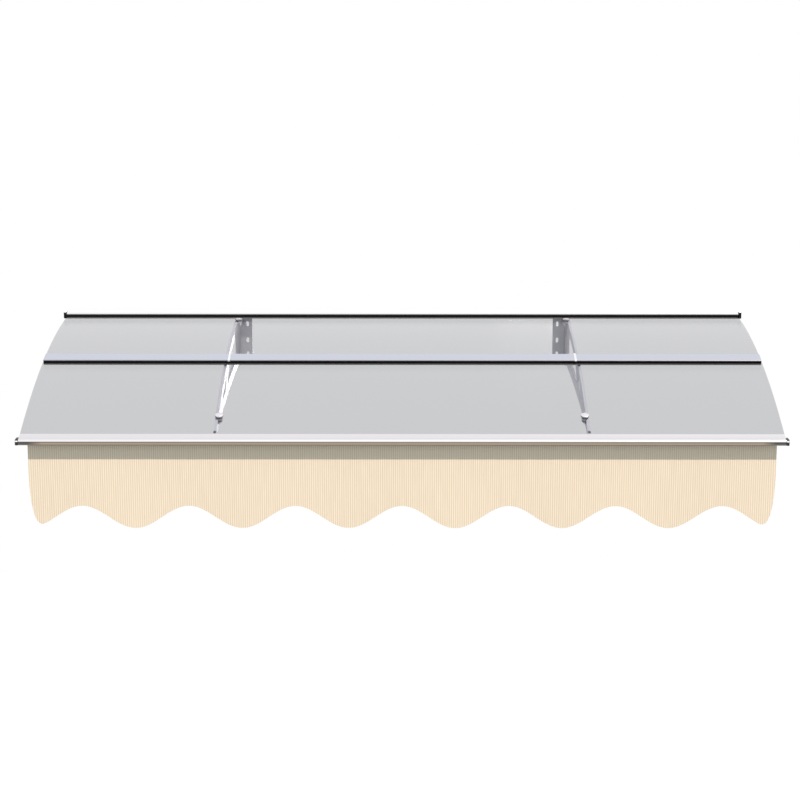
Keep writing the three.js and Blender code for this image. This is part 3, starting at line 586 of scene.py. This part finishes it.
def dress(name, finish, smoothing):
    """Gives a solid its finish and smooths its round faces."""
    solid = nodes[name]
    solid.data.materials.clear()
    solid.data.materials.append(finish)
    modifier = solid.modifiers.new("smooth", "NODES")
    modifier.node_group = smoothing


def dress_solids():
    """Every solid's finish, by its name or by the start of its name."""
    smoothing = smooth_by_angle()
    nylon = moulded_polymer("black_nylon", "#131314", 0.28, 0.5)
    steel = bright_steel("polished_stainless_steel", "#E9E6EA")
    polycarbonate = clear_polycarbonate()
    face_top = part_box("front_bar")[0].z + FACE_HEIGHT
    cap_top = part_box("rear_bar_cap_left")[1].z
    front_highlight = (face_top, face_top + FRONT_HIGHLIGHT)
    rear_highlight = (cap_top - REAR_HIGHLIGHT, cap_top + MARGIN)
    finishes = {
        # The rear bar is the same alloy as the mid bar; its near-white tone is painted light, for the bright
        # sky that its sloped top reflects.
        "rear_bar": anodised_aluminium("anodised_rear_bar", "#FAFAFC", "#7E7D81"),
        "mid_bar": anodised_aluminium("anodised_mid_bar", "#CCD0DC", "#85838A"),
        "front_bar": front_bar_aluminium(),
        "rear_panel": polycarbonate,
        "front_panel": polycarbonate,
        "valance_keder": nylon,
    }
    for seal in ("rear_bar_seal", "mid_bar_seal_front", "mid_bar_seal_rear"):
        finishes[seal] = rubber_seal(seal)
    starts = {
        "rear_bar_cap": moulded_polymer("rear_cap_nylon", "#131314", 0.35, 0.1, rear_highlight),
        "front_bar_cap": moulded_polymer("front_cap_nylon", "#131314", 0.35, 0.5, front_highlight),
        "mid_bar_plug": nylon,
        "clamp_washer": moulded_polymer("dark_grey_rubber", "#7A7A7E", 0.8, 0.1),
        "clamp_pad": moulded_polymer("pale_grey_rubber", "#D6D6D8", 0.8, 0.1),
        "arm_pad": moulded_polymer("grey_rubber", "#5E5E60", 0.7, 0.2),
        "clamp_bolt": steel,
        "clamp_nut": steel,
        "tip_screw": steel,
        "mid_bar_clip": bright_steel("bright_spring_steel", "#F8F8FA"),
        "bracket": cast_aluminium(),
    }
    for name in nodes:
        for start, finish in starts.items():
            if name.startswith(start):
                finishes[name] = finish
    for name, finish in finishes.items():
        dress(name, finish, smoothing)


# Stage, light and camera

def seen_or_lit(tree):
    """1 for what the camera, a reflection or clear material sees, 0 for light that falls on the object."""
    path = add(tree, "ShaderNodeLightPath").outputs
    seen = maths(tree, "MAXIMUM", path["Is Camera Ray"], path["Is Glossy Ray"])
    return maths(tree, "MAXIMUM", seen, path["Is Transmission Ray"])


def white_world():
    """A world that shows as white and lights the object as a pale sky."""
    world = bpy.data.worlds.new("studio")
    bpy.context.scene.world = world
    world.use_nodes = True
    tree = world.node_tree
    tree.nodes.clear()
    sky = add(tree, "ShaderNodeBackground", {"Color": srgb(SKY_COLOUR), "Strength": SKY_STRENGTH})
    white = add(tree, "ShaderNodeBackground", {"Color": srgb("#FFFFFF"), "Strength": 1.0})
    both = add(
        tree,
        "ShaderNodeMixShader",
        {0: seen_or_lit(tree), 1: sky.outputs[0], 2: white.outputs[0]},
    )
    add(tree, "ShaderNodeOutputWorld", {"Surface": both.outputs[0]})


def pale_floor():
    """A pale floor that shows as white, keeps a light shadow and is clear from below."""
    made, tree, surface = material("pale_floor")
    lit = add(tree, "ShaderNodeBsdfDiffuse", {"Color": srgb("#A0A0A0")})
    shown = add(tree, "ShaderNodeBsdfDiffuse", {"Color": srgb("#D8D8D8")})
    white = add(tree, "ShaderNodeEmission", {"Color": srgb("#FFFFFF"), "Strength": 1.0})
    pale = add(tree, "ShaderNodeMixShader", {0: FLOOR_GLOW, 1: shown.outputs[0], 2: white.outputs[0]})
    both = add(
        tree,
        "ShaderNodeMixShader",
        {0: seen_or_lit(tree), 1: lit.outputs[0], 2: pale.outputs[0]},
    )
    side = add(tree, "ShaderNodeNewGeometry")
    clear = add(tree, "ShaderNodeBsdfTransparent")
    sided = add(
        tree,
        "ShaderNodeMixShader",
        {0: side.outputs["Backfacing"], 1: both.outputs[0], 2: clear.outputs[0]},
    )
    tree.links.new(sided.outputs[0], surface)
    half = FLOOR_SIZE / 2
    corners = [(-half, -half), (half, -half), (half, half), (-half, half)]
    mesh = bpy.data.meshes.new("floor")
    mesh.from_pydata([(x, y, -FLOOR_DROP) for x, y in corners], [], [(0, 1, 2, 3)])
    mesh.materials.append(made)
    floor = bpy.data.objects.new("floor", mesh)
    bpy.context.scene.collection.objects.link(floor)


def sun():
    lamp = bpy.data.lights.new("sun", "SUN")
    lamp.energy = SUN_STRENGTH
    lamp.angle = math.radians(SUN_ANGLE)
    lamp.color = srgb(SUN_COLOUR)[:3]
    holder = bpy.data.objects.new("sun", lamp)
    holder.rotation_euler = Vector(TO_SUN).to_track_quat("Z", "Y").to_euler()
    bpy.context.scene.collection.objects.link(holder)


def rim_lamp():
    lamp = bpy.data.lights.new("rim_lamp", "AREA")
    lamp.energy = RIM_POWER
    lamp.size = RIM_SIZE
    holder = bpy.data.objects.new("rim_lamp", lamp)
    holder.location = RIM_PLACE
    holder.rotation_euler = (Vector(RIM_PLACE) - Vector(RIM_AIM)).to_track_quat("Z", "Y").to_euler()
    holder.visible_camera = False
    holder.visible_transmission = False
    bpy.context.scene.collection.objects.link(holder)


def camera():
    lens = bpy.data.cameras.new("camera")
    lens.lens = LENS
    lens.sensor_width = SENSOR
    holder = bpy.data.objects.new("camera", lens)
    holder.location = CAMERA_PLACE
    holder.rotation_euler = (math.radians(90 - CAMERA_PITCH), 0, math.radians(CAMERA_TURN))
    bpy.context.scene.collection.objects.link(holder)
    bpy.context.scene.camera = holder


camera()
sun()
rim_lamp()
white_world()
pale_floor()
dress_solids()
bpy.context.scene.view_settings.view_transform = "Standard"

valance, valance_flat, valance_area = ribbed_valance()
valance.data.materials.append(awning_cloth())
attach(valance, "root")
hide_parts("valance")
